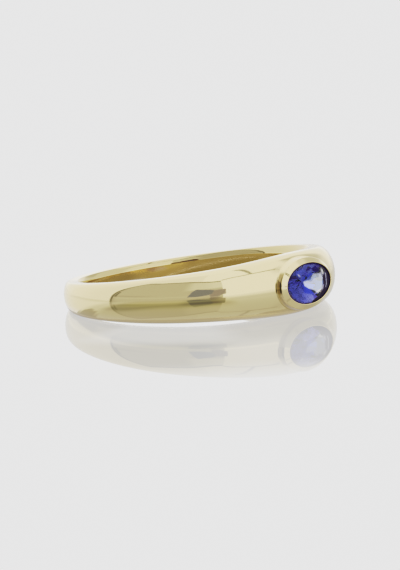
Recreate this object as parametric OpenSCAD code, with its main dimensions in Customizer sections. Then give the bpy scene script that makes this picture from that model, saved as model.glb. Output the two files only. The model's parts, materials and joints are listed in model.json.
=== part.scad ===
// Ring for a finger, lying on its side: a tapered domed band that carries an
// oval stone in a plain collar.
// Millimetres. +Z is up and the floor is z = 0. The stone faces -Y, and the
// origin is on the floor under the middle of the ring.

/* [Finger hole] */
// Bore diameter of the band
bore_d = 16.5; // [14:0.1:20]

/* [Band] */
// Width of the band at the back, opposite the stone
back_w = 1.78; // [1.3:0.01:3.5]
// Width that the plain taper reaches at the stone
head_w = 3.91; // [3.6:0.01:6]
// Extra width close beside the collar
flare_w = 0.39; // [0:0.01:0.8]
// Thickness of the band at the back
back_t = 1.13; // [0.9:0.01:1.8]
// Thickness of the band at the stone
head_t = 2.07; // [1.6:0.01:2.2]
// Thickness of the band where its side starts to curve outward
edge_t = 0.82; // [0.5:0.01:1.1]
// Rounding between the side of the band and the bore
comfort_r = 0.35; // [0.15:0.01:0.45]

/* [Stone] */
// Length of the stone at its girdle
stone_l = 5.12; // [4.2:0.02:6.2]
// Width of the stone at its girdle
stone_w = 3; // [2.2:0.02:3.3]
// Height of the crown above the girdle
crown_h = 0.38; // [0.25:0.01:0.6]
// Height of the girdle
girdle_h = 0.06; // [0.04:0.01:0.12]
// Depth of the pavilion below the girdle
pavilion_h = 1.35; // [0.9:0.01:1.6]
// Size of the table as a share of the girdle
table_share = 0.54; // [0.45:0.01:0.65]

/* [Collar] */
// Height of the lip above the bore wall
lip_h = 2.39; // [2.2:0.01:2.8]
// Amount by which the lip covers the girdle of the stone
lip_cover = 0.06; // [0.05:0.01:0.1]
// Width of the rim from the lip to the foot of the collar
rim_w = 0.47; // [0.35:0.01:0.6]
// Drop of the rounded rim from the lip to the shoulder
rim_drop = 0.34; // [0.2:0.01:0.5]
// Amount by which each side of the collar leans in up to its shoulder
collar_draft = 0.05; // [0.01:0.01:0.1]
// Depth of the girdle below the lip
girdle_depth = 0.15; // [0.12:0.01:0.25]
// Gap between the stone and its seat
seat_gap = 0.04; // [0.02:0.01:0.05]
// Size of the open back behind the stone as a share of the girdle
back_share = 0.68; // [0.5:0.01:0.8]

/* [Hidden] */

gold_colour = [0.86, 0.72, 0.38];
stone_colour = [0.30, 0.27, 0.72];

bore_r = bore_d / 2;

// How the width falls away from the stone towards the back
taper_power = 1.036;
flare_power = 16.6;

// Fineness of the curves
sections = 120;
dome_steps = 16;
corner_steps = 3;
oval_steps = 72;
rim_steps = 5;

// The rounded inner corner turns this far, then runs on inside the bore
corner_end = 66;
ledge_drop = 0.25;
ledge_slope = 1.2;

// Overlaps that keep each cut and each joint clean
rim_past_lip = 0.06;
foot_z = bore_r + 0.75;
cut_over = 1;

// Height of the slope under the lip
lip_under = 0.04;

// Half length and half width of each oval in the collar
opening = [stone_l / 2 - lip_cover, stone_w / 2 - lip_cover];
foot = [opening[0] + rim_w, opening[1] + rim_w];
shoulder = [foot[0] - collar_draft, foot[1] - collar_draft];
rim_top = [opening[0] - rim_past_lip, opening[1] - rim_past_lip];
groove = [stone_l / 2 + seat_gap, stone_w / 2 + seat_gap];
back_hole = [stone_l / 2 * back_share + seat_gap, stone_w / 2 * back_share + seat_gap];

// Height above the finger's axis of each level in the collar and the stone
lip_z = bore_r + lip_h;
girdle_top = lip_z - girdle_depth;
girdle_low = girdle_top - girdle_h;
seat_low = girdle_low - seat_gap - (1 - back_share) * pavilion_h;

// Width and thickness of the band at the angle a from the stone
function share(a) = (1 + cos(a)) / 2;
function band_w(a) = back_w + (head_w - back_w) * pow(share(a), taper_power)
    + flare_w * pow(share(a), flare_power);
function band_t(a) = back_t + (head_t - back_t) * share(a);

// Section of the band as [height above the bore wall, place across the band]
function corner(w) = [for (i = [0 : corner_steps])
    let (q = corner_end * i / corner_steps)
    [comfort_r * (1 - sin(q)), w / 2 - comfort_r * (1 - cos(q))]];
function ledge(p) = [-ledge_drop, p[1] - ledge_slope * (p[0] + ledge_drop)];
function top_side(w) = concat(corner(w), [ledge(corner(w)[corner_steps])]);
function low_side(w) = [for (i = [corner_steps + 1 : -1 : 0])
    [top_side(w)[i][0], -top_side(w)[i][1]]];
function dome(w, t) = [for (i = [0 : dome_steps])
    let (q = -90 + 180 * i / dome_steps)
    [edge_t + (t - edge_t) * cos(q), w / 2 * sin(q)]];
function section(a) = concat(
    low_side(band_w(a)),
    dome(band_w(a), band_t(a)),
    top_side(band_w(a)));

// Outer form of the band about the finger's axis, which is Z here
section_size = len(section(0));
band_points = [for (i = [0 : sections - 1], p = section(360 * i / sections))
    let (a = 360 * i / sections)
    [(bore_r + p[0]) * sin(a), -(bore_r + p[0]) * cos(a), p[1]]];
function ring_at(i, j) = (i % sections) * section_size + j % section_size;
band_faces = [for (i = [0 : sections - 1], j = [0 : section_size - 1], k = [0, 1])
    k == 0
        ? [ring_at(i, j), ring_at(i, j + 1), ring_at(i + 1, j + 1)]
        : [ring_at(i, j), ring_at(i + 1, j + 1), ring_at(i + 1, j)]];

// Stack of ovals, each given as [half length, half width, height]
function oval_points(rows) = [for (row = rows, i = [0 : oval_steps - 1])
    let (a = 360 * i / oval_steps)
    [row[0] * cos(a), row[1] * sin(a), row[2]]];
function oval_at(k, i) = k * oval_steps + i % oval_steps;
function oval_sides(n) = [for (k = [0 : n - 2], i = [0 : oval_steps - 1], f = [0, 1])
    f == 0
        ? [oval_at(k, i), oval_at(k + 1, i), oval_at(k + 1, i + 1)]
        : [oval_at(k, i), oval_at(k + 1, i + 1), oval_at(k, i + 1)]];
function oval_ends(n) = [
    [for (i = [0 : oval_steps - 1]) i],
    [for (i = [oval_steps - 1 : -1 : 0]) oval_at(n - 1, i)]];

module oval_stack(rows) {
    polyhedron(
        points = oval_points(rows),
        faces = concat(oval_sides(len(rows)), oval_ends(len(rows))),
        convexity = 4);
}

// Collar, outside: straight wall, then a rounded rim up to the lip
collar_rows = concat(
    [[foot[0], foot[1], foot_z]],
    [for (i = [0 : rim_steps])
        let (q = 90 * i / rim_steps)
        [
            rim_top[0] + (shoulder[0] - rim_top[0]) * cos(q),
            rim_top[1] + (shoulder[1] - rim_top[1]) * cos(q),
            lip_z - rim_drop * (1 - sin(q))
        ]]);

// Collar, inside: open back, seat, groove for the girdle, and the lip
seat_rows = [
    [back_hole[0], back_hole[1], bore_r - cut_over],
    [back_hole[0], back_hole[1], seat_low],
    [groove[0], groove[1], girdle_low - seat_gap],
    [groove[0], groove[1], girdle_top + seat_gap],
    [opening[0], opening[1], girdle_top + seat_gap + lip_under],
    [opening[0], opening[1], lip_z + cut_over]
];

// Cut of the stone, first as a round one of radius 1. Each kite facet is flat.
facet = 22.5;
star_r = 0.78;
star_z = crown_h * (1 - star_r * cos(facet)) / (1 - table_share);
lower_r = 0.22;
lower_z = pavilion_h * (1 - lower_r * cos(facet));
function around(r, z, first, count) = [for (i = [0 : count - 1])
    let (a = first + 360 * i / count)
    [r * cos(a), r * sin(a), z]];
cut_points = concat(
    around(table_share, girdle_h + crown_h, 0, 8),
    around(star_r, girdle_h + star_z, facet, 8),
    around(1, girdle_h, 0, 16),
    around(1, 0, 0, 16),
    around(lower_r, -lower_z, facet, 8),
    [[0, 0, -pavilion_h]]);

// Place of each ring of corners in that list
table_0 = 0;
star_0 = 8;
top_0 = 16;
low_0 = 32;
lower_0 = 48;
culet = 56;
function t_at(i) = table_0 + i % 8;
function s_at(i) = star_0 + (i + 8) % 8;
function g_at(i) = top_0 + (i + 16) % 16;
function b_at(i) = low_0 + (i + 16) % 16;
function l_at(i) = lower_0 + (i + 8) % 8;
cut_faces = concat(
    [[for (i = [7 : -1 : 0]) t_at(i)]],
    [for (i = [0 : 7]) [t_at(i), t_at(i + 1), s_at(i)]],
    [for (i = [0 : 7]) [t_at(i), s_at(i), g_at(2 * i), s_at(i - 1)]],
    [for (i = [0 : 7]) [s_at(i), g_at(2 * i + 1), g_at(2 * i)]],
    [for (i = [0 : 7]) [s_at(i), g_at(2 * i + 2), g_at(2 * i + 1)]],
    [for (i = [0 : 15]) [g_at(i), g_at(i + 1), b_at(i + 1), b_at(i)]],
    [for (i = [0 : 7]) [b_at(2 * i), b_at(2 * i + 1), l_at(i)]],
    [for (i = [0 : 7]) [b_at(2 * i + 1), b_at(2 * i + 2), l_at(i)]],
    [for (i = [0 : 7]) [culet, l_at(i - 1), b_at(2 * i), l_at(i)]]);

// Rest on the floor. The band lies on two places: the inner end of its flat
// side at the stone, and the outer end of it at the back.
rest_tilt = atan((band_w(0) - band_w(180)) / 2 / (2 * bore_r + edge_t + comfort_r));
function tilted(p) = [
    p[0],
    p[1] * cos(rest_tilt) + p[2] * sin(rest_tilt),
    -p[1] * sin(rest_tilt) + p[2] * cos(rest_tilt)];
lying = [for (p = band_points) tilted(p)];
table_front = [for (i = [0 : 7])
    let (p = cut_points[t_at(i)])
    tilted([p[0] * stone_l / 2, -girdle_low - p[2], p[1] * stone_w / 2])];
rest_shift = [
    0,
    -(min([for (p = table_front) p[1]]) + max([for (p = lying) p[1]])) / 2,
    -min([for (p = lying) p[2]])];

module at_rest() {
    translate(rest_shift)
        rotate([-rest_tilt, 0, 0])
            children();
}

module toward_stone() {
    rotate([90, 0, 0])
        children();
}

module band_and_collar() {
    color(gold_colour)
        at_rest()
            difference() {
                union() {
                    polyhedron(points = band_points, faces = band_faces, convexity = 8);
                    toward_stone() oval_stack(collar_rows);
                }
                cylinder(r = bore_r, h = 2 * head_w, center = true, $fn = 180);
                toward_stone() oval_stack(seat_rows);
            }
}

module stone() {
    color(stone_colour)
        at_rest()
            toward_stone()
                translate([0, 0, girdle_low])
                    scale([stone_l / 2, stone_w / 2, 1])
                        polyhedron(points = cut_points, faces = cut_faces, convexity = 2);
}

band_and_collar();
stone();
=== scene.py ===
import json
import math

import bmesh
import bpy
from mathutils import Matrix, Vector


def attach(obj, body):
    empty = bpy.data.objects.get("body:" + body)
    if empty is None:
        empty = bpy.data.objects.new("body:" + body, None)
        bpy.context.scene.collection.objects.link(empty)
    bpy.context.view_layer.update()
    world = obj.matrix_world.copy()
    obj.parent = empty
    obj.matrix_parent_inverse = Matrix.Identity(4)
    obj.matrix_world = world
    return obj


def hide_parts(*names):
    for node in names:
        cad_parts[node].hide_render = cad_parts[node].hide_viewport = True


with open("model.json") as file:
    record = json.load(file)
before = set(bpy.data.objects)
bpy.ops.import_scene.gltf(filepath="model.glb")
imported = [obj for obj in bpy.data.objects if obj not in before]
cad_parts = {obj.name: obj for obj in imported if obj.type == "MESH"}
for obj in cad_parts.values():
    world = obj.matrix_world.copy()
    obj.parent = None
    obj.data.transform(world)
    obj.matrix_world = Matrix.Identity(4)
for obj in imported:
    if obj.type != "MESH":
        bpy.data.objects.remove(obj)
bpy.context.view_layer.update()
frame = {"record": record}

MM = 0.001

# Ring sizes in millimetres, the same as the solids have
BORE_R = 8.25
BACK_W = 1.78
HEAD_W = 3.91
FLARE_W = 0.39
BACK_T = 1.13
HEAD_T = 2.07
EDGE_T = 0.82
FLAT_FROM = 0.35
TAPER_POWER = 1.036
FLARE_POWER = 16.6

# Rounded inner corner: its radius and its reach along the bore, the longer reach towards the
# stone with the share of the ring where that begins and is full, and its end
CORNER_R = 0.693
CORNER_W = 0.45
CORNER_EXTRA = 0.19
EXTRA_FROM = (0.38, 0.65)
CORNER_END = math.radians(80)
CORNER_TOP_R = 0.04

# Painted shade in that corner: its tone, and how much more of the green and blue the painted shade
# takes
CORNER_PAINTED_SHADE = 0.82
PAINTED_SHADE_GREEN = 1.08
PAINTED_SHADE_BLUE = 1.3

# Stone: half its length and width, its heights, and the cut of a round one of radius 1, which
# is then made oval
STONE_HALF = (2.56, 1.5)
CROWN_H = 0.38
GIRDLE_H = 0.06
PAVILION_H = 1.35
TABLE_SHARE = 0.54
STAR_R = 0.78
LOWER_R = 0.22
HALF_FACETS = 16
HALF_FACET = 2 * math.pi / HALF_FACETS

# Collar: half length and half width of its ovals, and heights above the finger's axis
LIP_Z = 10.64
FOOT = (2.97, 1.91)
FOOT_Z = 9.0
SHOULDER = (2.918, 1.858)
SHOULDER_Z = 10.18
OPENING = (2.50, 1.44)
GROOVE = (2.60, 1.54)
GIRDLE_LOW = 10.43
GROOVE_Z = (10.39, 10.53)
LIP_UNDER_Z = 10.57
SEAT_Z = 9.958
BACK_HOLE = (1.781, 1.06)

# Rest on the floor: turn about the sideways axis, then shift to where the frame has the bore
REST_TILT = math.atan(
    (HEAD_W + FLARE_W - BACK_W) / 2 / (2 * BORE_R + EDGE_T + FLAT_FROM))
REST_SHIFT = Vector([c / MM for c in frame["record"]["mounts"][0]["pos_m"]])

# Round forms that only the scene has
FILLET_R = 0.07
LIP_ROUND = (0.06, 0.035)

# Rounded rim, as places out from the stone's opening and above the finger's axis
RIM_BEND = [(0.418, 10.18), (0.425, 10.285), (0.385, 10.33)]
RIM_SLOPE = [(0.385, 10.33), (0.21, 10.477), (0.06, 10.607)]

# Inside of the collar, from the lip down to the open back
SEAT_ROWS = [
    (OPENING, LIP_UNDER_Z),
    (GROOVE, GROOVE_Z[1]),
    (GROOVE, GROOVE_Z[0]),
    (BACK_HOLE, SEAT_Z),
]

# Fineness of the mesh. The window is where the collar stands, in steps to each side of it.
SECTIONS = 240
WINDOW = 18
ACROSS = 40
CORNER_STEPS = 12
SIDE_STEPS = 2
TOP_STEPS = 4
SPREAD_STEPS = 10
FILLET_STEPS = 5
WALL_STEPS = 3
BEND_STEPS = 5
RIM_STEPS = 12
LIP_STEPS = 3
GIRDLE_SIDES = 96

# Rounds of the two searches, and how far below the lip the second one starts
DOME_ROUNDS = 30
MEETING_ROUNDS = 20
BELOW_LIP = 0.8


def lerp(p, q, t):
    return tuple(u + (v - u) * t for u, v in zip(p, q))


def bend(p, q, r, t):
    """Point on the curve from p to r that leaves and arrives along the lines through q."""
    return lerp(lerp(p, q, t), lerp(q, r, t), t)


def smooth(x, low, high):
    t = max(0.0, min(1.0, (x - low) / (high - low)))
    return t * t * (3 - 2 * t)


def hill(x, start, full, last, gone):
    """Up from 0 to 1 between start and full, and back to 0 between last and gone."""
    return smooth(x, start, full) * (1 - smooth(x, last, gone))


def share(a):
    """1 at the stone and 0 at the back of the ring."""
    return (1 + math.cos(a)) / 2


def band_w(a):
    s = share(a)
    return BACK_W + (HEAD_W - BACK_W) * s ** TAPER_POWER + FLARE_W * s ** FLARE_POWER


def band_t(a):
    return BACK_T + (HEAD_T - BACK_T) * share(a)


def posed(p):
    """From the ring's own frame, with the finger along Z, to the pose at rest."""
    c, s = math.cos(REST_TILT), math.sin(REST_TILT)
    return Vector((p[0], p[1] * c + p[2] * s, -p[1] * s + p[2] * c)) + REST_SHIFT


def on_ring(a, r, w):
    """Point at the angle a from the stone, r from the finger's axis and w across."""
    return (r * math.sin(a), -r * math.cos(a), w)


def on_collar(x, w, h):
    """Point x to the side of the stone's middle, w across and h from the finger's axis."""
    return (x, -h, w)


def dome_r(a, q):
    return BORE_R + EDGE_T + (band_t(a) - EDGE_T) * math.cos(q)


def dome_point(a, q):
    return on_ring(a, dome_r(a, q), band_w(a) / 2 * math.sin(q))


def dome_at(x, w):
    """Angle round the ring and angle across the dome, for a place beside the stone."""
    a = math.asin(x / (BORE_R + HEAD_T))
    for _ in range(DOME_ROUNDS):
        q = math.asin(max(-1.0, min(1.0, 2 * w / band_w(a))))
        a = math.asin(x / dome_r(a, q))
    return a, q


def add_to_scene(name, data):
    made = bpy.data.objects.new(name, data)
    bpy.context.scene.collection.objects.link(made)
    return made


def set_colours(mesh, name, colours):
    layer = mesh.color_attributes.new(name, "FLOAT_COLOR", "POINT")
    for i, colour in enumerate(colours):
        layer.data[i].color = colour


def add_piece(name, bm, tones):
    """Piece of the finished mesh, with a tone of painted light and shade for each of its corners."""
    mesh = bpy.data.meshes.new(name)
    bm.to_mesh(mesh)
    bm.free()
    set_colours(mesh, "tone", tones)
    return add_to_scene(name, mesh)


class Skin:
    """Corners, the faces between rows of them, and the edges that stay crisp."""

    def __init__(self):
        self.points = []
        self.tones = []
        self.faces = []
        self.crisp = []

    def add(self, p, tone=1.0):
        self.points.append(p)
        self.tones.append(tone)
        return len(self.points) - 1

    def row(self, points):
        return [self.add(p) for p in points]

    def strip(self, a, b, closed=True):
        n = len(a)
        for i in range(n if closed else n - 1):
            j = (i + 1) % n
            self.faces.append((a[i], a[j], b[j], b[i]))

    def join(self, last, now):
        """Closed strip from the last row to this one, which is the last from then on."""
        self.strip(last, now)
        return now

    def crease(self, row):
        self.crisp += [(row[i - 1], row[i]) for i in range(len(row))]

    def build(self, name):
        bm = bmesh.new()
        for p in self.points:
            bm.verts.new(posed(p) * MM)
        bm.verts.ensure_lookup_table()
        for f in self.faces:
            bm.faces.new([bm.verts[i] for i in f])
        bmesh.ops.recalc_face_normals(bm, faces=bm.faces)
        for a, b in self.crisp:
            bm.edges.get((bm.verts[a], bm.verts[b])).smooth = False
        for f in bm.faces:
            f.smooth = True
        # Each tone is painted shade, which takes more of the green and blue than of the red
        return add_piece(
            name, bm, [(t, t ** PAINTED_SHADE_GREEN, t ** PAINTED_SHADE_BLUE, 1.0) for t in self.tones])


def window_loop():
    """Places round the window at the stone, as (step round the ring, step across)."""
    return (
        [(WINDOW, j) for j in range(ACROSS)]
        + [(i, ACROSS) for i in range(WINDOW, -WINDOW, -1)]
        + [(-WINDOW, j) for j in range(ACROSS, 0, -1)]
        + [(i, 0) for i in range(-WINDOW, WINDOW)])


def in_window(i, j):
    return abs(i) < WINDOW and 0 < j < ACROSS


def turn(i):
    return 2 * math.pi * i / SECTIONS


def across(j):
    return math.pi * (j / ACROSS - 0.5)


def corner_w(a):
    """Reach of the rounded inner corner along the bore, longer towards the stone."""
    return CORNER_W + CORNER_EXTRA * smooth(share(a), *EXTRA_FROM)


def corner_arc(a):
    """Where the arc of the inner corner starts, and its radius."""
    reach = corner_w(a)
    start = math.acos(reach / (CORNER_R + reach - CORNER_W))
    return start, reach / math.cos(start)


def inner_w(a):
    """Half width of the plain bore, where the end of the corner runs straight into it."""
    run_in = math.cos(CORNER_END) - (1 - math.sin(CORNER_END)) * math.tan(CORNER_END)
    return band_w(a) / 2 - corner_w(a) + corner_arc(a)[1] * run_in


def bore_w(a, j):
    """Place of step j across the plain bore."""
    return inner_w(a) * (2 * j / ACROSS - 1)


def side_profile(a):
    """From the edge of the dome, down the flat side and round to the bore."""
    w, reach = band_w(a) / 2, corner_w(a)
    start, radius = corner_arc(a)
    top = radius * (1 - math.sin(start))
    arc = [(radius * (1 - math.sin(u)), w - reach + radius * math.cos(u))
           for u in (start + (CORNER_END - start) * k / CORNER_STEPS
                     for k in range(1, CORNER_STEPS + 1))]
    flat = [(EDGE_T + (top + CORNER_TOP_R - EDGE_T) * k / SIDE_STEPS, w)
            for k in range(1, SIDE_STEPS + 1)]
    round_top = [bend(flat[-1], (top, w), arc[0], k / TOP_STEPS) for k in range(1, TOP_STEPS)]
    return flat + round_top + arc + [(0.0, inner_w(a))]


# Painted shade makes the rounded inner corner a little darker than the rest
SIDE_PAINTED_SHADES = (
    [1.0] * (SIDE_STEPS + 1) + [CORNER_PAINTED_SHADE] * (TOP_STEPS - 2 + CORNER_STEPS) + [1.0])

# Shade in the crevice beside the collar, deepest at the two ends of the oval. Each is given
# as its depth, its middle across the ring, and how far from there it is full and gone.
WALL_SHADE = (0.5, 0.35, 0.6, 0.85)
DEEP_SHADE = (0.75, 0.08, 0.28, 0.46)
FOOT_SHADE = (0.25, -1.3, 0.7, 1.1)

# Part of half a turn that the shade on the fillet takes up, and where it starts
FILLET_SHADE = 0.8
FILLET_SHADE_FROM = 0.1


def crevice(w, *shades):
    tone = 1.0
    for depth, middle, full, gone in shades:
        tone *= 1 - depth * (1 - smooth(abs(w - middle), full, gone))
    return tone


def ring_surface(skin):
    """Dome, sides and bore, open at the stone. Gives the grids of the dome and of the bore."""
    ring = range(-SECTIONS // 2, SECTIONS // 2)
    dome = {(i, j): skin.add(dome_point(turn(i), across(j)))
            for i in ring for j in range(ACROSS + 1) if not in_window(i, j)}
    bore = {}
    sides = {}
    for i in ring:
        a = turn(i)
        for side, edge in ((1, ACROSS), (-1, 0)):
            rows = [dome[i, edge]]
            rows += [skin.add(on_ring(a, BORE_R + r, side * w), tone)
                     for (r, w), tone in zip(side_profile(a), SIDE_PAINTED_SHADES)]
            sides[i, side] = rows
            bore[i, edge] = rows[-1]
        for j in range(1, ACROSS):
            if not in_window(i, j):
                bore[i, j] = skin.add(on_ring(a, BORE_R, bore_w(a, j)))
    for i in ring:
        n = i + 1 if i + 1 in ring else ring[0]
        for grid in (dome, bore):
            for j in range(ACROSS):
                if not -WINDOW <= i < WINDOW:
                    skin.faces.append((grid[i, j], grid[i, j + 1], grid[n, j + 1], grid[n, j]))
        for side in (1, -1):
            skin.strip(sides[i, side], sides[n, side], closed=False)
            skin.crisp.append((sides[i, side][-1], sides[n, side][-1]))
    return dome, bore


def wall_half(h):
    """Half length and half width of the collar's wall at the height h."""
    return lerp(FOOT, SHOULDER, (h - FOOT_Z) / (SHOULDER_Z - FOOT_Z))


def oval(half, h, u):
    return on_collar(half[0] * math.cos(u), half[1] * math.sin(u), h)


def oval_turn(i, j):
    """Angle round the oval that faces a place on the edge of the window."""
    x, _, w = dome_point(turn(i), across(j))
    return math.atan2(w / FOOT[1], x / FOOT[0])


def meeting(u):
    """Height at which the collar's wall meets the dome."""
    h = LIP_Z - BELOW_LIP
    for _ in range(MEETING_ROUNDS):
        half = wall_half(h)
        a, q = dome_at(half[0] * math.cos(u), half[1] * math.sin(u))
        h = dome_r(a, q) * math.cos(a)
    return h


def fillet_start(u, h):
    """Where the fillet starts on the dome, as dome_at gives it."""
    half = wall_half(h)
    return dome_at((half[0] + FILLET_R) * math.cos(u), (half[1] + FILLET_R) * math.sin(u))


def add_dome_to_collar(skin, last, places, starts):
    for k in range(1, SPREAD_STEPS + 1):
        now = []
        for (i, j), start in zip(places, starts):
            a, q = lerp((turn(i), across(j)), start, k / SPREAD_STEPS)
            now.append(skin.add(dome_point(a, q)))
        last = skin.join(last, now)
    return last


def add_fillet(skin, last, turns, meets, starts):
    for k in range(1, FILLET_STEPS + 1):
        t = k / FILLET_STEPS
        part = math.sin(math.pi * (FILLET_SHADE_FROM + FILLET_SHADE * t))
        now = []
        for u, h, (a, q) in zip(turns, meets, starts):
            foot = oval(wall_half(h), h, u)
            top = oval(wall_half(h + FILLET_R), h + FILLET_R, u)
            place = bend(dome_point(a, q), foot, top, t)
            tone = crevice(place[2], DEEP_SHADE, FOOT_SHADE)
            now.append(skin.add(place, 1 - (1 - tone) * part))
        last = skin.join(last, now)
    return last


def add_wall(skin, last, turns, meets):
    for k in range(1, WALL_STEPS + 1):
        t = k / WALL_STEPS
        now = []
        for u, h in zip(turns, meets):
            z = h + FILLET_R + (SHOULDER_Z - h - FILLET_R) * t
            place = oval(wall_half(z), z, u)
            now.append(skin.add(place, crevice(place[2], WALL_SHADE, FOOT_SHADE)))
        last = skin.join(last, now)
    return last


def rim_rows():
    """Rounded rim and lip, as (how far out from the opening, height)."""
    rows = [bend(*RIM_BEND, k / BEND_STEPS) for k in range(1, BEND_STEPS + 1)]
    rows += [bend(*RIM_SLOPE, k / RIM_STEPS) for k in range(1, RIM_STEPS + 1)]
    top = rows[-1][1]
    for k in range(1, LIP_STEPS + 1):
        v = math.pi / 2 * k / LIP_STEPS
        rows.append((LIP_ROUND[0] * (1 - math.sin(v)), top - LIP_ROUND[1] * (1 - math.cos(v))))
    return rows


def add_rim(skin, last, turns):
    """Rim and lip. The shade of the crevice reaches up the bend, short of its last row."""
    for k, (out, h) in enumerate(rim_rows()):
        half = (OPENING[0] + out, OPENING[1] + out)
        shades = (WALL_SHADE, DEEP_SHADE) if k < BEND_STEPS - 1 else ()
        now = []
        for u in turns:
            place = oval(half, h, u)
            now.append(skin.add(place, crevice(place[2], *shades)))
        last = skin.join(last, now)
    return last


def add_open_back(skin, last, turns, places, bore):
    """From the seat down to the bore, then out to the window."""
    hole = [(BACK_HOLE[0] * math.cos(u), BACK_HOLE[1] * math.sin(u)) for u in turns]
    ends = [on_collar(x, w, math.sqrt(BORE_R ** 2 - x * x)) for x, w in hole]
    last = skin.join(last, skin.row(ends))
    skin.crease(last)
    for k in range(1, SPREAD_STEPS):
        now = []
        for (i, j), (x, w) in zip(places, hole):
            goal = (turn(i), bore_w(turn(i), j))
            a, c = lerp((math.asin(x / BORE_R), w), goal, k / SPREAD_STEPS)
            now.append(skin.add(on_ring(a, BORE_R, c)))
        last = skin.join(last, now)
    skin.strip(last, [bore[p] for p in places])


def make_band():
    """Band with its collar, as one closed skin."""
    skin = Skin()
    dome, bore = ring_surface(skin)
    places = window_loop()
    turns = [oval_turn(i, j) for i, j in places]
    meets = [meeting(u) for u in turns]
    starts = [fillet_start(u, h) for u, h in zip(turns, meets)]
    last = [dome[p] for p in places]
    last = add_dome_to_collar(skin, last, places, starts)
    last = add_fillet(skin, last, turns, meets, starts)
    last = add_wall(skin, last, turns, meets)
    last = add_rim(skin, last, turns)
    for half, h in SEAT_ROWS:
        last = skin.join(last, skin.row([oval(half, h, u) for u in turns]))
        skin.crease(last)
    add_open_back(skin, last, turns, places, bore)
    return skin.build("band_with_collar")


# Part of the table that mirrors a pale card, as places on it in millimetres
GLINT = [
    (-1.05, 0.25), (-0.75, 0.31), (-0.20, 0.28), (0.17, 0.67), (0.80, 0.61), (1.27, 0.64),
    (1.19, 0.01), (1.06, -0.55), (0.66, -0.81), (0.38, -0.73), (0.16, -0.55), (-0.50, -0.31),
    (-0.93, -0.06)]
GLINT_GLOSS = 5.0
PLAIN_GLOSS = 0.15

# Painted reflections and shade in the stone, as shapes on its face in millimetres from its middle
NAVY = (0.48, 0.40, 0.68)
DEEP = (0.11, 0.07, 0.33)
DARK = (0.16, 0.14, 0.06)
STONE_PAINTED_LIGHT = [
    ([(-2.3, 0.75), (-1.0, 0.35), (0.0, 0.45), (0.3, 0.7), (0.9, 0.7), (1.3, 1.5), (-2.3, 1.5)],
     (0.70, 0.76, 0.80)),
    ([(-2.6, 0.3), (-1.0, 0.1), (-0.9, -0.3), (-1.2, -1.6), (-2.6, -1.6)], (0.94, 0.96, 0.92)),
    ([(-0.3, 1.6), (-0.3, 1.42), (0.3, 1.25), (0.75, 1.22), (1.2, 0.9), (1.6, 0.95), (1.6, 1.6)],
     (0.2, 0.14, 0.4)),
    ([(-0.47, 1.06), (-0.12, 1.18), (0.21, 1.17), (0.21, 1.03), (-0.11, 0.93), (-0.46, 0.91)],
     DEEP),
    ([(0.26, 1.09), (0.73, 1.20), (1.18, 0.88), (1.00, 0.69), (0.35, 0.68), (0.10, 0.90)], DEEP),
    ([(-2.14, 0.38), (-1.65, 0.41), (-1.21, 0.31), (-1.24, 0.17), (-1.61, 0.15), (-2.09, 0.28)],
     NAVY),
    ([(-2.2, 0.62), (-1.83, 0.80), (-1.42, 0.66), (-1.42, 0.50), (-1.87, 0.50), (-2.15, 0.54)],
     (0.25, 0.2, 0.47)),
    ([(-0.98, 0.70), (-0.46, 0.93), (-0.40, 0.78), (-0.89, 0.62)], NAVY),
    ([(-0.10, -0.80), (0.40, -0.81), (0.81, -1.16), (0.36, -1.23)], NAVY),
    ([(-1.38, 0.0), (-0.98, 0.57), (0, 0.81), (0.98, 0.57), (1.38, 0), (0.98, -0.57), (0, -0.81),
      (-0.98, -0.57)], (0.3, 0.42, 0.9)),
    (GLINT, (0.09, 0.30, 1.0)),
    ([(0.15, -1.6), (0.15, -1.27), (0.84, -0.95), (1.14, -0.56), (1.25, -0.01), (1.27, 0.40),
      (1.65, 0.55), (1.79, 0.64), (1.53, 0.90), (1.45, 1.6), (2.7, 1.6), (2.7, -1.6)], DARK),
]
# Painted shadow round the girdle: its colour, and where it starts and where it is full
EDGE_PAINTED_SHADE = (0.25, 0.18, 0.36)
EDGE_SHADE_FROM = (0.86, 0.94)

# Small bright reflections beside the table, as (shape, strength)
SPARKS = [
    ([(1.25, 0.78), (1.38, 0.88), (1.58, 0.72), (1.52, 0.48), (1.38, 0.36), (1.30, 0.55)], 2.0),
    ([(1.68, 0.52), (1.84, 0.46), (1.86, -0.1), (1.72, -0.55), (1.56, -0.55), (1.69, -0.1)], 1.6),
    ([(1.28, -0.25), (1.36, -0.25), (1.30, -0.55), (1.16, -0.72), (1.10, -0.66)], 1.0),
    ([(-1.36, 0.82), (-1.22, 0.80), (-1.20, 0.66), (-1.32, 0.64)], 1.6),
    ([(0.36, -0.70), (0.66, -0.62), (0.95, -0.55), (0.66, -0.84)], 3.2),
]
SPARK_TONE = (0.5, 0.5, 0.9)

# Spacing of the grid that carries the painted light and shade, softness of their edges, and
# the share of that spacing by which the grid is off the corners of the facets
TONE_GRID = 0.08
TONE_SOFT = 0.05
GRID_SHIFT = 0.01


def cover(shape, x, w):
    """How far a place is inside a shape, from 0 outside to 1 inside."""
    inner, nearest = False, math.inf
    for i, (x1, w1) in enumerate(shape):
        x0, w0 = shape[i - 1]
        run, rise = x1 - x0, w1 - w0
        t = ((x - x0) * run + (w - w0) * rise) / (run * run + rise * rise)
        t = max(0.0, min(1.0, t))
        nearest = min(nearest, math.hypot(x - x0 - run * t, w - w0 - rise * t))
        if (w0 > w) != (w1 > w) and x < x0 + run * (w - w0) / rise:
            inner = not inner
    return smooth(nearest if inner else -nearest, -TONE_SOFT, TONE_SOFT)


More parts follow.
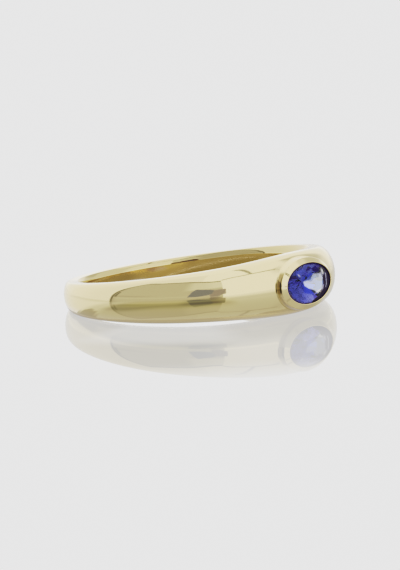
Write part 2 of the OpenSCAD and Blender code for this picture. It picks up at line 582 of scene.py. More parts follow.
def painted_stone_light(x, w):
    """Colour of the painted light and shade at a place on the crown, and how bright its gloss is as
    the fourth value.
    """
    tone = (1.0, 1.0, 1.0)
    for shape, colour in STONE_PAINTED_LIGHT:
        tone = lerp(tone, colour, cover(shape, x, w))
    rim = math.hypot(x / STONE_HALF[0], w / STONE_HALF[1])
    tone = lerp(tone, tuple(t * e for t, e in zip(tone, EDGE_PAINTED_SHADE)), smooth(rim, *EDGE_SHADE_FROM))
    gloss = cover(GLINT, x, w)
    for shape, strength in SPARKS:
        part = cover(shape, x, w)
        gloss = max(gloss, strength * part)
        tone = lerp(tone, SPARK_TONE, part * min(strength, 1.0))
    return tuple(t * t for t in tone) + (gloss,)


# Nearness at which a cut takes a corner as on its plane, and at which corners become one
CUT_NEAR = 1e-7
WELD_NEAR = 1e-5
SAME_FACET = math.radians(0.2)

# How far the uncut block reaches past the culet and the table
BLOCK_MORE = 1


def cut_corner(r, step, z):
    """Corner of the cut of a round stone of radius 1, at a step of half a facet."""
    return Vector((r * math.cos(step * HALF_FACET), r * math.sin(step * HALF_FACET), z))


def facet_planes():
    """A point and the outward direction of each flat facet."""
    table_z = GIRDLE_H + CROWN_H
    star_z = GIRDLE_H + CROWN_H * (1 - STAR_R * math.cos(HALF_FACET)) / (1 - TABLE_SHARE)
    lower_z = -PAVILION_H * (1 - LOWER_R * math.cos(HALF_FACET))
    planes = [(cut_corner(0, 0, table_z), Vector((0, 0, 1)))]

    def cut(a, b, c):
        n = (b - a).cross(c - a).normalized()
        planes.append((a, n if n.dot(a) > 0 else -n))

    culet = cut_corner(0, 0, -PAVILION_H)
    for i in range(0, HALF_FACETS, 2):
        table = cut_corner(TABLE_SHARE, i, table_z)
        star = cut_corner(STAR_R, i + 1, star_z)
        high = [cut_corner(1, i + k, GIRDLE_H) for k in range(3)]
        low = [cut_corner(1, i + k, 0) for k in range(3)]
        lower = cut_corner(LOWER_R, i + 1, lower_z)
        cut(table, cut_corner(TABLE_SHARE, i + 2, table_z), star)
        cut(table, star, high[0])
        cut(star, high[0], high[1])
        cut(star, high[1], high[2])
        cut(culet, low[0], lower)
        cut(lower, low[0], low[1])
        cut(lower, low[1], low[2])
    return planes


def upright_block(bm):
    rings = []
    for z in (-PAVILION_H - BLOCK_MORE, GIRDLE_H + CROWN_H + BLOCK_MORE):
        rings.append([bm.verts.new(cut_corner(1, HALF_FACETS * i / GIRDLE_SIDES, z))
                      for i in range(GIRDLE_SIDES)])
    low, high = rings
    for i in range(GIRDLE_SIDES):
        bm.faces.new((low[i - 1], low[i], high[i], high[i - 1]))
    bm.faces.new(high)
    bm.faces.new(low[::-1])


def cut_facets(bm):
    for point, normal in facet_planes():
        parts = bm.verts[:] + bm.edges[:] + bm.faces[:]
        done = bmesh.ops.bisect_plane(
            bm, geom=parts, dist=CUT_NEAR, plane_co=point, plane_no=normal, clear_outer=True)
        rim = [e for e in done["geom_cut"] if isinstance(e, bmesh.types.BMEdge)]
        open_rim = [e for e in rim if len(e.link_faces) == 1]
        if open_rim:
            bmesh.ops.contextual_create(bm, geom=open_rim)
    bmesh.ops.remove_doubles(bm, verts=bm.verts, dist=WELD_NEAR)
    bmesh.ops.dissolve_limit(bm, angle_limit=SAME_FACET, verts=bm.verts, edges=bm.edges)


def grid_on_crown(bm):
    """Fine grid over the crown, to carry the painted light and shade."""
    for axis in (0, 1):
        count = math.floor(STONE_HALF[axis] / TONE_GRID)
        for k in range(-count, count + 1):
            place, normal = Vector((0, 0, 0)), Vector((0, 0, 0))
            place[axis] = (k + GRID_SHIFT) * TONE_GRID / STONE_HALF[axis]
            normal[axis] = 1.0
            crown = [f for f in bm.faces if f.calc_center_median().z > GIRDLE_H]
            parts = set(crown)
            for f in crown:
                parts.update(f.verts)
                parts.update(f.edges)
            bmesh.ops.bisect_plane(
                bm, geom=list(parts), dist=CUT_NEAR, plane_co=place, plane_no=normal)


def make_stone():
    """Stone: an upright round block, cut by a flat plane for each facet, then made oval."""
    bm = bmesh.new()
    upright_block(bm)
    cut_facets(bm)
    grid_on_crown(bm)
    tones = []
    for v in bm.verts:
        x, w, h = v.co.x * STONE_HALF[0], v.co.y * STONE_HALF[1], v.co.z + GIRDLE_LOW
        tones.append(painted_stone_light(x, w) if v.co.z > GIRDLE_H / 2 else (1.0, 1.0, 1.0, 0.0))
        v.co = posed(on_collar(x, w, h)) * MM
    bmesh.ops.recalc_face_normals(bm, faces=bm.faces)
    if bm.calc_volume(signed=True) < 0:
        bmesh.ops.reverse_faces(bm, faces=bm.faces)
    return add_piece("faceted_stone", bm, tones)


# Places of the two colours and of the result on a node that mixes colours
FIRST, SECOND, RESULT = 6, 7, 2


def add_node(tree, kind, values=None):
    """Node of one kind, with the values of some of its inputs by name."""
    made = tree.nodes.new("ShaderNode" + kind)
    for name, value in (values or {}).items():
        made.inputs[name].default_value = value
    return made


def new_material(name):
    made = bpy.data.materials.new(name)
    made.use_nodes = True
    tree = made.node_tree
    tree.nodes.clear()
    out = add_node(tree, "OutputMaterial")
    return made, tree, out


def link(tree, a, b):
    tree.links.new(a, b)


def attribute(tree, name):
    made = add_node(tree, "Attribute")
    made.attribute_name = name
    return made


def noise(tree, scale, detail, place):
    made = add_node(tree, "TexNoise", {"Scale": scale, "Detail": detail})
    link(tree, place, made.inputs["Vector"])
    return made.outputs["Fac"]


def colour_mix(tree, blend="MIX"):
    made = add_node(tree, "Mix")
    made.data_type = "RGBA"
    made.blend_type = blend
    made.inputs["Factor"].default_value = 1.0
    return made


def mix_shaders(tree, part, first, second):
    made = add_node(tree, "MixShader")
    link(tree, part, made.inputs["Fac"])
    link(tree, first, made.inputs[1])
    link(tree, second, made.inputs[2])
    return made.outputs[0]


def add_shaders(tree, first, second):
    made = add_node(tree, "AddShader")
    link(tree, first, made.inputs[0])
    link(tree, second, made.inputs[1])
    return made.outputs[0]


def maths(tree, operation, *values):
    """Result of one step of arithmetic, on values that are numbers or sockets."""
    made = add_node(tree, "Math")
    made.operation = operation
    for socket, value in zip(made.inputs, values):
        if isinstance(value, bpy.types.NodeSocket):
            link(tree, value, socket)
        else:
            socket.default_value = value
    return made.outputs[0]


def map_range(tree, value, source, goal=(0.0, 1.0)):
    """Node that takes a value from its place in the first range to that in the second."""
    limits = zip(("From Min", "From Max", "To Min", "To Max"), source + goal)
    made = add_node(tree, "MapRange", dict(limits))
    link(tree, value, made.inputs["Value"])
    return made


def gold_material():
    made, tree, out = new_material("polished_gold")
    shader = add_node(tree, "BsdfPrincipled", {"Metallic": 1.0})
    link(tree, shader.outputs[0], out.inputs["Surface"])
    place = add_node(tree, "TexCoord").outputs["Object"]

    # Slow change of colour, as cast gold has
    ramp = add_node(tree, "ValToRGB")
    ramp.color_ramp.elements[0].color = (0.925, 0.790, 0.455, 1)
    ramp.color_ramp.elements[1].color = (0.940, 0.810, 0.485, 1)
    link(tree, noise(tree, 260.0, 2.0, place), ramp.inputs["Fac"])
    # Painted shade in the inner corner and in the crevices beside the collar, from the mesh's tone
    toned = colour_mix(tree, "MULTIPLY")
    link(tree, ramp.outputs["Color"], toned.inputs[FIRST])
    link(tree, attribute(tree, "tone").outputs["Color"], toned.inputs[SECOND])
    link(tree, toned.outputs[RESULT], shader.inputs["Base Color"])

    # Gloss that differs a little from place to place
    gloss = map_range(tree, noise(tree, 700.0, 5.0, place), (0.3, 0.7), (0.035, 0.065))
    link(tree, gloss.outputs["Result"], shader.inputs["Roughness"])

    # Faint polishing marks round the ring
    stretch = add_node(tree, "Mapping", {"Scale": (900.0, 900.0, 9000.0)})
    link(tree, place, stretch.inputs["Vector"])
    bump = add_node(tree, "Bump", {"Strength": 0.02, "Distance": 0.00001})
    link(tree, noise(tree, 1.0, 3.0, stretch.outputs["Vector"]), bump.inputs["Height"])
    link(tree, bump.outputs["Normal"], shader.inputs["Normal"])
    return made


def stone_material():
    made, tree, out = new_material("violet_blue_stone")
    shader = add_node(tree, "BsdfPrincipled", {
        "Transmission Weight": 1.0,
        "IOR": 1.69,
        "Roughness": 0.0,
    })
    tone = attribute(tree, "tone")

    # The painted light and shade count where light enters the stone, not where it leaves
    facing = add_node(tree, "NewGeometry")
    toned = colour_mix(tree)
    toned.inputs[SECOND].default_value = (1, 1, 1, 1)
    link(tree, facing.outputs["Backfacing"], toned.inputs["Factor"])
    link(tree, tone.outputs["Color"], toned.inputs[FIRST])
    tinted = colour_mix(tree, "MULTIPLY")
    tinted.inputs[FIRST].default_value = (0.94, 0.93, 1.0, 1)
    link(tree, toned.outputs[RESULT], tinted.inputs[SECOND])
    link(tree, tinted.outputs[RESULT], shader.inputs["Base Color"])

    gloss = map_range(tree, tone.outputs["Alpha"], (0.0, 1.0), (PLAIN_GLOSS, GLINT_GLOSS))
    gloss.clamp = False
    link(tree, gloss.outputs["Result"], shader.inputs["Specular Tint"])

    # The darkest painted shade swallows the light that it would mirror
    split = add_node(tree, "SeparateColor")
    link(tree, toned.outputs[RESULT], split.inputs["Color"])
    depth = map_range(tree, split.outputs["Blue"], (0.0, 0.5), (0.9, 0.0))
    deep = colour_mix(tree, "ADD")
    deep.inputs[FIRST].default_value = (0.03, 0.018, 0.075, 1)
    link(tree, toned.outputs[RESULT], deep.inputs[SECOND])
    dull = add_node(tree, "BsdfDiffuse")
    link(tree, deep.outputs[RESULT], dull.inputs["Color"])
    surface = mix_shaders(tree, depth.outputs["Result"], shader.outputs[0], dull.outputs[0])
    link(tree, surface, out.inputs["Surface"])

    # Light is taken up on its way through the body
    body = add_node(tree, "VolumeAbsorption", {"Color": (0.28, 0.31, 0.74, 1), "Density": 600.0})
    link(tree, body.outputs[0], out.inputs["Volume"])
    return made


band = make_band()
band.data.materials.append(gold_material())
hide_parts("band_and_collar")
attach(band, "root")

stone = make_stone()
stone.data.materials.append(stone_material())
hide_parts("stone")
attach(stone, "root")

# Camera as in the photograph: direction, turn, distance, lens, and the place where it aims,
# with how far that is from the middle of the picture in pixels
AZIMUTH = math.radians(50.722)
ELEVATION = math.radians(9.588)
ROLL = math.radians(2.34)
DISTANCE = 383.7
PIXELS_PER_MM = 13.7835
FRAME_LONG = 570
SENSOR = 36.0
AIM = Vector((0.0, REST_SHIFT.y, 0.0))
AIM_OFFSET = (4.77, 18.86)

toward = Vector((
    -math.sin(AZIMUTH) * math.cos(ELEVATION),
    -math.cos(AZIMUTH) * math.cos(ELEVATION),
    math.sin(ELEVATION)))
flat_right = Vector((math.cos(AZIMUTH), -math.sin(AZIMUTH), 0.0))
upright = toward.cross(flat_right)
right = flat_right * math.cos(ROLL) - upright * math.sin(ROLL)
up = flat_right * math.sin(ROLL) + upright * math.cos(ROLL)


def make_camera():
    data = bpy.data.cameras.new("camera")
    data.sensor_width = SENSOR
    data.lens = PIXELS_PER_MM * DISTANCE * SENSOR / FRAME_LONG
    data.shift_x = AIM_OFFSET[0] / FRAME_LONG
    data.shift_y = AIM_OFFSET[1] / FRAME_LONG
    data.clip_start = 0.01
    data.clip_end = 5.0
    made = add_to_scene("camera", data)
    turn_to = Matrix((right, up, toward)).transposed()
    made.matrix_world = Matrix.Translation((AIM + toward * DISTANCE) * MM) @ turn_to.to_4x4()
    bpy.context.scene.camera = made


make_camera()

# Studio. Directions are in degrees: az from the camera's side towards its right, el up.
near = Vector((toward.x, toward.y, 0.0)).normalized()


def direction(az, el):
    a, e = math.radians(az), math.radians(el)
    flat = near * math.cos(a) + flat_right * math.sin(a)
    return flat * math.cos(e) + Vector((0, 0, math.sin(e)))


def sky_point(az, el, radius):
    return (AIM + direction(az, el) * radius) * MM


def stated_light(tree):
    """Light that each point of the mesh states for itself."""
    made = add_node(tree, "Emission")
    link(tree, attribute(tree, "glow").outputs["Color"], made.inputs["Color"])
    return made.outputs[0]


def glow_material():
    made, tree, out = new_material("studio_light")
    link(tree, stated_light(tree), out.inputs["Surface"])
    return made


def added_light_material():
    """Light added to what lies behind it."""
    made, tree, out = new_material("added_light")
    clear = add_node(tree, "BsdfTransparent")
    both = add_shaders(tree, stated_light(tree), clear.outputs[0])
    link(tree, both, out.inputs["Surface"])
    return made


def stage_mesh(name, points, faces, glow, material):
    """Piece of the studio. Each point's glow is a colour, and a share as its fourth value if any."""
    mesh = bpy.data.meshes.new(name)
    mesh.from_pydata(points, [], faces)
    set_colours(mesh, "glow", [(*colour, 1.0)[:4] for colour in glow])
    mesh.materials.append(material)
    made = add_to_scene(name, mesh)
    return made


def stage_shape(name, points, colour, material):
    """Flat piece of the studio, all of one light."""
    return stage_mesh(
        name, points, [tuple(range(len(points)))], [colour] * len(points), material)


def light_only(light, target):
    """Light that reaches one object alone."""
    group = bpy.data.collections.new("lit_by_" + light.name)
    group.objects.link(target)
    light.visible_diffuse = False
    light.visible_transmission = False
    light.visible_shadow = False
    light.light_linking.receiver_collection = group


def sky_patch(name, azs, els, radius, level, material, top=None):
    """Part of a round tent, its light given by level(az, el)."""
    points, glow, faces = [], [], []
    for az in azs:
        for el in els:
            e = el if top is None else el * top(az)
            points.append(sky_point(az, e, radius))
            glow.append(level(az, e))
    n = len(els)
    for i in range(len(azs) - 1):
        for j in range(n - 1):
            k = i * n + j
            faces.append((k, k + 1, k + n + 1, k + n))
    return stage_mesh(name, points, faces, glow, material)


def steps(low, high, count):
    return [low + (high - low) * i / count for i in range(count + 1)]


def grey(v, blue=1.0):
    return (v, v, v * blue)


# Distances from the point where the camera aims
TENT_R = 620
PANEL_R = 560
CAMERA_R = 470
SEAM_R = 540

studio_light = glow_material()
added_light = added_light_material()

# Light of the tent behind, at the left, farther at the left and at the right. Two parts of its
# right side are greyer, each as (how much, where it starts, is full, ends and is gone).
TENT_BEHIND = 1.55
TENT_LEFT = 1.34
TENT_FAR_LEFT = 0.16
TENT_RIGHT = 1.5
TENT_BLUE = 1.02
BEHIND_FROM = 140
GREY_SIDE = (0.3, 68, 82, 144, 154)
GREY_CORNER = (0.32, 122, 130, 146, 156)


def tent_level(az, el):
    """Pale all round, with the two greyer parts up to a top that differs in height."""
    left = TENT_LEFT + TENT_FAR_LEFT * smooth(-az, 90, 140)
    v = left if az < 0 else TENT_RIGHT
    if abs(az) > BEHIND_FROM:
        v = TENT_BEHIND
    top = 42 + 7 * smooth(az, 100, 125) - 9 * smooth(az, 136, 146)
    low = 1 - smooth(el, top, top + 6)
    v -= GREY_SIDE[0] * hill(az, *GREY_SIDE[1:]) * low
    v -= GREY_CORNER[0] * hill(az, *GREY_CORNER[1:]) * low * smooth(el, 8, 20)
    return grey(v, TENT_BLUE)


sky_patch("tent", steps(-180, 180, 180), steps(-3, 90, 62), TENT_R, tent_level, studio_light)

# Light of the grey panel, how much lighter it is above the camera and to the right of that,
# the depth of its dark left edge, and a light and a dark line low on it
PANEL_GREY = 0.76
ABOVE_CAMERA = 0.25
ABOVE_RIGHT = 0.1
LEFT_EDGE = 0.14
LIGHT_LINE = (0.07, 4.2, 6, 6.8, 8.6)
DARK_LINE = (0.12, 9.5, 11.6, 12.4, 14.5)


def panel_level(az, el):
    above = ABOVE_CAMERA + ABOVE_RIGHT * smooth(az, 0, 14)
    v = PANEL_GREY + above * smooth(az, -18, -6) * smooth(el, 20, 27)
    v -= LEFT_EDGE * (1 - smooth(az, -82, -74)) * (1 - smooth(el, 30, 45))
    v += LIGHT_LINE[0] * hill(el, *LIGHT_LINE[1:])
    v -= DARK_LINE[0] * hill(el, *DARK_LINE[1:]) * (1 - smooth(az, -66, -30))
    return grey(v)


def panel_top(az):
    """The panel gets lower towards its right end."""
    return 1.0 - 0.22 * smooth(az, -35, 20) ** 1.3


panel = sky_patch(
    "front_panel", steps(-82, 19, 60), steps(-3, 60, 90), PANEL_R, panel_level, studio_light,
    panel_top)

# The camera and its stand, which the band mirrors as a dark spot
SPOTS = {
    "camera_shape": (
        [(-11, 4.5), (-9, 12), (-7.5, 19), (-4, 25.5), (0, 23.5), (9, 20.5), (11.5, 18),
         (9.5, 8.5), (7, 6), (-2, 3.8)],
        (0.38, 0.41, 0.55)),
    "stand_shape": (
        [(9.5, 8.5), (11.5, 18), (21.5, 18.4), (21.5, 5.6), (18, 4), (15, 0.5), (8.5, 0.5),
         (7.5, 5.5)],
        (0.51, 0.49, 0.57)),
}

# Their darker look for the far side of the ring, and the distances in metres between which
# it takes over
FAR_TONE = (0.19, 0.12, 0.05)
FAR_FROM = (0.466, 0.474)


def spot_material():
    made, tree, out = new_material("camera_light")
    length = add_node(tree, "LightPath").outputs["Ray Length"]
    far = map_range(tree, length, FAR_FROM)
    both = colour_mix(tree)
    both.inputs[SECOND].default_value = (*FAR_TONE, 1)
    link(tree, far.outputs["Result"], both.inputs["Factor"])
    link(tree, attribute(tree, "glow").outputs["Color"], both.inputs[FIRST])
    shown = add_node(tree, "Emission")
    link(tree, both.outputs[RESULT], shown.inputs["Color"])
    link(tree, shown.outputs[0], out.inputs["Surface"])
    return made


spot_light = spot_material()
spots = [
    stage_shape(name, [sky_point(az, el, CAMERA_R) for az, el in shape], tone, spot_light)
    for name, (shape, tone) in SPOTS.items()]

# Dark seams and edges of the tent, as (points given as (az, el), width in degrees, light)
SEAMS = {
    "panel_left_edge": ([(-80.3, -2), (-80.3, 30), (-81, 58)], 1.8, 0.34),
    "panel_left_low_edge": ([(-77.6, 10), (-77.4, 16), (-77.2, 24)], 1.8, 0.34),
    "panel_top_edge": (
        [(-82, 58.3), (-60, 58.3), (-35, 58.3), (-20, 56.9), (-5, 52), (8, 47.2), (19, 45.1)],
        3.4, 0.48),
    "right_seam": (
        [(20, 48.3), (25.8, 50.2), (30.8, 51.2), (36.8, 51.4), (42.8, 51), (54.4, 49.6),
         (66, 47), (77.3, 43.4), (82.3, 41)], 2.2, 0.6),
    "right_loop": (
        [(55, 48.5), (56.5, 53.9), (60.5, 60.1), (70.2, 68), (100.9, 75.3), (133, 77)], 2.6, 0.6),
}


def seam(name, line, width, tone):
    """Thin band of one light along a line of places."""
    points, faces = [], []
    for i, (az, el) in enumerate(line):
        before, after = line[max(i - 1, 0)], line[min(i + 1, len(line) - 1)]
        squeeze = math.cos(math.radians(el))
        run = Vector(((after[0] - before[0]) * squeeze, after[1] - before[1])).normalized()
        for side in (1, -1):
            off = Vector((-run.y / squeeze, run.x)) * (side * width / 2)
            points.append(sky_point(az + off.x, el + off.y, SEAM_R))
        if i:
            faces.append((2 * i - 2, 2 * i - 1, 2 * i + 1, 2 * i))
    return stage_mesh(name, points, faces, [grey(tone)] * len(points), studio_light)


seams = [seam(name, *values) for name, values in SEAMS.items()]

# Pale cards that the table of the stone mirrors, given by what they cover there
GLINT_AWAY = 16.0
GLINT_APART = 0.1
GLINTS = {
    "glint_card": (GLINT, 0.45),
    "glint_card_near": (
        [(-1.05, 0.25), (-0.6, 0.22), (-0.1, 0.12), (0.3, 0.32), (0.78, 0.32), (0.85, 0.5),
         (1.27, 0.61)] + GLINT[6:],
        0.6),
}


def in_table(x, w, away):
    """Where the camera looks when it meets the table of the stone at (x, w)."""
    p = posed(on_collar(x, w, GIRDLE_LOW + GIRDLE_H + CROWN_H))
    n = (posed((0, -1, 0)) - REST_SHIFT).normalized()
    ray = (p - AIM - toward * DISTANCE).normalized()
    return (p + (ray - n * (2 * ray.dot(n))) * away) * MM


cards = []
for k, (name, (shape, tone)) in enumerate(GLINTS.items()):
    away = GLINT_AWAY - GLINT_APART * k
    card = stage_shape(name, [in_table(x, w, away) for x, w in shape], grey(tone), added_light)
    light_only(card, stone)
    cards.append(card)

# Floor, once as the camera sees it and, just below, once as the polished metal sees it
FLOOR_R = 640
FLOOR_SIDES = 360
METAL_FLOOR_Z = -0.002
METAL_FLOOR_IOR = 2.4
INSIDE_FLOOR_IOR = 1.5
INSIDE_R = 8.9
OUTSIDE_R = 9.5


def floor_patch(name, radii, height, level, material, hollow=False):
    """Flat round part of the floor, its light given by level(az, r)."""
    points, tones, faces = [], [], []
    for r in radii:
        for i in range(FLOOR_SIDES):
            az = 360 * i / FLOOR_SIDES
            points.append((AIM + direction(az, 0) * r + Vector((0, 0, height))) * MM)
            tones.append(level(az if az <= 180 else az - 360, r))
    for k in range(len(radii) - 1):
        for i in range(FLOOR_SIDES):
            j = (i + 1) % FLOOR_SIDES
            a, b = k * FLOOR_SIDES, (k + 1) * FLOOR_SIDES
            faces.append((a + i, b + i, b + j, a + j))
    if not hollow:
        faces.append(tuple(range(FLOOR_SIDES)))
    return stage_mesh(name, points, faces, tones, material)


# Own light of the floor that the camera sees, less for the stone than for the camera, the
# light of the tent that its mirror gives back, and how strongly it mirrors beside the band, in
# front of it and to the right
SEEN_LIGHT = 1.35
SEEN_LIGHT_MORE = 0.22
SEEN_IOR = 1.5
SEEN_GLOSS = 0.01
SEEN_RADII = [2, 12] + steps(14, 36, 44) + [60, FLOOR_R]
BACK_LIGHT = 2.4
BESIDE = 0.71
BESIDE_RIGHT = 0.22
BESIDE_LEFT = 0.2
STRONGEST = 1
STRONGEST_RIGHT = -0.15
FADE = 0.6


def mirror_share(az, r):
    """Weak beside the band, strongest a little in front of it, then fading away."""
    beside = BESIDE + BESIDE_RIGHT * smooth(az, 3, 16) + BESIDE_LEFT * smooth(-az, 27, 36)
    strongest = STRONGEST + STRONGEST_RIGHT * smooth(az, -3, 12)
    part = beside + (strongest - beside) * smooth(r, 14.5, 18) - FADE * smooth(r, 23.5, 32)
    return (1, 1, 1, part)


def seen_floor_material():
    """Mirror that loses as much of its own light as the pale tent behind gives back."""
    made, tree, out = new_material("pale_floor")
    slant = add_node(tree, "Fresnel", {"IOR": SEEN_IOR})
    part = maths(
        tree, "MULTIPLY", slant.outputs[0], attribute(tree, "glow").outputs["Alpha"])
    seen = add_node(tree, "LightPath").outputs["Is Camera Ray"]
    own = maths(tree, "MULTIPLY_ADD", seen, SEEN_LIGHT_MORE, SEEN_LIGHT)
    light = add_node(tree, "Emission")
    link(tree, maths(tree, "MULTIPLY_ADD", part, -BACK_LIGHT, own), light.inputs["Strength"])
    gloss = add_node(tree, "BsdfGlossy", {"Roughness": SEEN_GLOSS})
    link(tree, part, gloss.inputs["Color"])
    link(tree, add_shaders(tree, light.outputs[0], gloss.outputs[0]), out.inputs["Surface"])
    return made


floor = floor_patch("floor", SEEN_RADII, 0.0, mirror_share, seen_floor_material())
floor.visible_glossy = False


def metal_floor_material(name, ior):
    """Floor with the light that each point states, under a clear coat."""
    made, tree, out = new_material(name)
    shader = add_node(tree, "BsdfPrincipled", {
        "Base Color": (0.0, 0.0, 0.0, 1),
        "Specular IOR Level": 0.0,
        "Roughness": 1.0,
        "Coat Weight": 1.0,
        "Coat IOR": ior,
        "Coat Roughness": 0.01,
        "Emission Strength": 1.0,
    })
    link(tree, attribute(tree, "glow").outputs["Color"], shader.inputs["Emission Color"])
    link(tree, shader.outputs[0], out.inputs["Surface"])
    return made


# Light of the floor round the ring: in front, with a dip and what follows it, at the right,
# at the left, far at the left and behind. By the band it is a little lighter and bluer.
FRONT = 0.62
FRONT_DIP = 0.25
AFTER_DIP = 0.06
FRONT_FAR = 0.20
CAMERA_SHADE = 0.20
RIGHT = 0.60
RIGHT_DIP = 0.12
RIGHT_FAR = 0.35
LEFT = 0.85
FAR_LEFT = 1.28
FAR_LEFT_FALL = 0.7
BEHIND = 0.62
BEHIND_DIP = 0.27
BEHIND_FAR = 0.93
BY_BAND = (9.7, 10.4)
BY_BAND_FRONT = 0.05
BY_BAND_RIGHT = 0.10
BY_BAND_BLUE = 0.17
WARM_FRONT = 0.35

# Dark wedge at the left: its light, its peak as (az, r), and its slope to each side of that
WEDGE = 0.39
WEDGE_PEAK = (-61.4, 11.45)
WEDGE_SLOPES = (0.235, 0.124)
WEDGE_SOFT = 0.1


def front_level(az, r, by_band):
    turned = smooth(az, -42, -15)
    dip, after = 10.6 + 1.2 * turned, 12.4 + 3 * turned
    v = FRONT - FRONT_DIP * smooth(r, dip, after) + AFTER_DIP * smooth(r, after, after + 2.5)
    v += FRONT_FAR * smooth(r, 17.2, 22) + BY_BAND_FRONT * by_band
    shade = hill(az, -14, -4, 9, 17) * smooth(r, 13.5, 17)
    return v - shade * CAMERA_SHADE * (1 + hill(r, 20, 28, 60, 200))


def floor_level(az, r):
    """Floor round the ring as the metal sees it: light to the left, shaded by the camera."""
    by_band = 1 - smooth(r, *BY_BAND)
    v = front_level(az, r, by_band)
    right_side = RIGHT - RIGHT_DIP * smooth(r, 17.5, 19.5) + RIGHT_FAR * smooth(r, 25, 32)
    v += (right_side + BY_BAND_RIGHT * by_band - v) * smooth(az, 16, 24)
    v += (LEFT - v) * smooth(-az, 48, 58)
    v += (FAR_LEFT - FAR_LEFT_FALL * smooth(r, 16, 36) - v) * smooth(-az, 60, 72)
    past = az - WEDGE_PEAK[0]
    edge = WEDGE_PEAK[1] - max(-WEDGE_SLOPES[0] * past, WEDGE_SLOPES[1] * past)
    wedge = hill(-az, 50, 52, 70, 72) * (1 - smooth(r, edge - WEDGE_SOFT, edge + WEDGE_SOFT))
    v += (WEDGE - v) * wedge
    if az < -120:
        v = BEHIND - BEHIND_DIP * smooth(r, 11.5, 11.7) + BEHIND_FAR * smooth(r, 12.4, 12.8)
    warm = smooth(r, 10, 17) * hill(az, -60, -40, 12, 26)
    return grey(v, 1 - WARM_FRONT * warm + BY_BAND_BLUE * by_band)


outside_radii = [OUTSIDE_R, 10.5, 11] + steps(11.3, 18, 26) + steps(20, 60, 16) + [200, FLOOR_R]
mirror_floor = floor_patch(
    "floor_for_metal", outside_radii, METAL_FLOOR_Z, floor_level,
    metal_floor_material("floor_seen_by_metal", METAL_FLOOR_IOR), hollow=True)

# Light of the floor inside the ring, and a bluish patch on it. It is golden where the wall
# mirrors it at once, with one bounce before it, since it then has the light of the gold too.
INSIDE = 0.62
INSIDE_RIGHT = 0.08
INSIDE_FAR_RIGHT = -0.16
INSIDE_BLUE = 1.15
MIDDLE_DIP = 0.6
PATCH_BLUE = 0.7
GOLDEN_FLOOR = (0.43, 0.36, 0.20)
GOLDEN_LEAST = 0.4
AT_ONCE = 1.5


def inside_level(az, r):
    """Its fourth value is how golden the place is at first sight."""
    v = INSIDE + INSIDE_RIGHT * smooth(az, 5, 20) + INSIDE_FAR_RIGHT * smooth(az, 75, 105)
    v *= 1 - MIDDLE_DIP * (1 - smooth(r, 5.6, 6.9))
    patch = hill(az, 30, 33, 49, 53) * hill(r, 4.0, 4.4, 5.3, 5.8)
    golden = GOLDEN_LEAST + (1 - GOLDEN_LEAST) * hill(az, -125, -100, 20, 45)
    return (v, v, INSIDE_BLUE * v + PATCH_BLUE * patch, golden)


def golden_floor_material(inside_light):
    made = inside_light.copy()
    made.name = "golden_floor"
    tree = made.node_tree
    out = tree.nodes["Material Output"]
    depth = add_node(tree, "LightPath").outputs["Ray Depth"]
    at_once = maths(tree, "LESS_THAN", depth, AT_ONCE)
    part = maths(tree, "MULTIPLY", at_once, attribute(tree, "glow").outputs["Alpha"])
    golden = add_node(tree, "Emission", {"Color": (*GOLDEN_FLOOR, 1)})
    plain = out.inputs["Surface"].links[0].from_socket
    link(tree, mix_shaders(tree, part, plain, golden.outputs[0]), out.inputs["Surface"])
    return made


inside_light = metal_floor_material("inside_floor_seen_by_metal", INSIDE_FLOOR_IOR)
floor_edge = floor_patch(
    "floor_under_band", steps(INSIDE_R, OUTSIDE_R, 3), METAL_FLOOR_Z, inside_level, inside_light,
    hollow=True)
inside_floor = floor_patch(
    "floor_inside", [1] + steps(3, INSIDE_R, 24), METAL_FLOOR_Z, inside_level,
    golden_floor_material(inside_light))

# Strip that closes the gap under the near band: where it stands, the light of the line along
# its top and of its right part, and the heights from the band's edge where the line starts
GAP_R = 8.75
GAP_LINE = (1.5, 1.45, 1.8)
GAP_RIGHT = (0.60, 0.62, 0.85)
GAP_RIGHT_FROM = (55, 65)
LINE_FROM = (-0.06, -0.045)
LINE_TOP = 0.01


def gap_material():
    """Golden from the inside of the ring, clear from the outside."""
    made, tree, out = new_material("gap_light")
    facing = add_node(tree, "NewGeometry")
    clear = add_node(tree, "BsdfTransparent")
    both = mix_shaders(tree, facing.outputs["Backfacing"], stated_light(tree), clear.outputs[0])
    link(tree, both, out.inputs["Surface"])
    return made


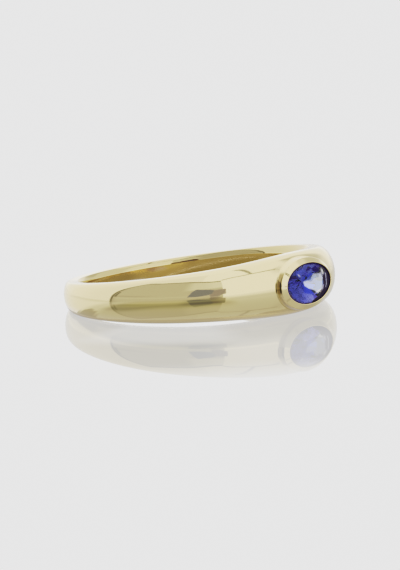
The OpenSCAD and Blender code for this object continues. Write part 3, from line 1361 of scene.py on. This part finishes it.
def gap_strip():
    points, tones, faces = [], [], []
    for i, az in enumerate(steps(-110, 150, 130)):
        a = math.radians(az) - AZIMUTH
        x, y, edge = posed(on_ring(a, GAP_R, -band_w(a) / 2))
        right_part = smooth(az, *GAP_RIGHT_FROM)
        low, line = lerp(GOLDEN_FLOOR, GAP_RIGHT, right_part), lerp(GAP_LINE, GAP_RIGHT, right_part)
        heights = (0.0, edge + LINE_FROM[0], edge + LINE_FROM[1], edge + LINE_TOP)
        points += [Vector((x, y, max(z, 0.0))) * MM for z in heights]
        tones += [low, low, line, line]
        for j in range(3 if i else 0):
            k = 4 * i + j
            faces.append((k - 4, k - 3, k + 1, k))
    return stage_mesh("gap_under_band", points, faces, tones, gap_material())


gap = gap_strip()

# Low light behind the ring, one for the floor and one for the metal, as (light, height up to
# which it is full, height where it is gone, distance, what it reaches)
BACK_GLOWS = {
    "back_glow_for_floor": (0.90, 14, 26, 530, floor),
    "back_glow_for_metal": (0.25, 6, 8.5, 520, band),
}


def back_glow(name, light, full, gone, radius, target):
    def level(az, el):
        fade = 1 - smooth(abs(az - 180), 2, 30)
        return grey(light * (1 - smooth(el, full, gone)) * fade)

    made = sky_patch(name, steps(150, 210, 30), steps(-1, 26, 54), radius, level, added_light)
    light_only(made, target)
    return made


back_glows = [back_glow(name, *values) for name, values in BACK_GLOWS.items()]

# The camera itself sees only the tent and its own floor
unseen = [mirror_floor, inside_floor, floor_edge, gap, panel]
for piece in unseen + spots + seams + cards + back_glows:
    piece.visible_camera = False

WORLD_LIGHT = 1.4
world = bpy.data.worlds.new("studio")
world.use_nodes = True
world.node_tree.nodes["Background"].inputs["Color"].default_value = (*grey(WORLD_LIGHT), 1)
bpy.context.scene.world = world

# Response of the film, from scene light to picture light
FILM = [(0.16, 0.069), (0.33, 0.212), (0.55, 0.40), (0.70, 0.503), (1.2, 0.70),
        (1.6, 0.80), (2.3, 0.90)]
FILM_WHITE = 4.0
ALL_CHANNELS = 3


def set_film():
    look = bpy.context.scene.view_settings
    look.view_transform = "Standard"
    look.look = "None"
    look.use_curve_mapping = True
    curves = look.curve_mapping
    curves.white_level = (FILM_WHITE,) * 3
    curves.extend = "HORIZONTAL"
    curve = curves.curves[ALL_CHANNELS]
    for x, y in FILM:
        curve.points.new(x / FILM_WHITE, y)
    curves.update()


set_film()
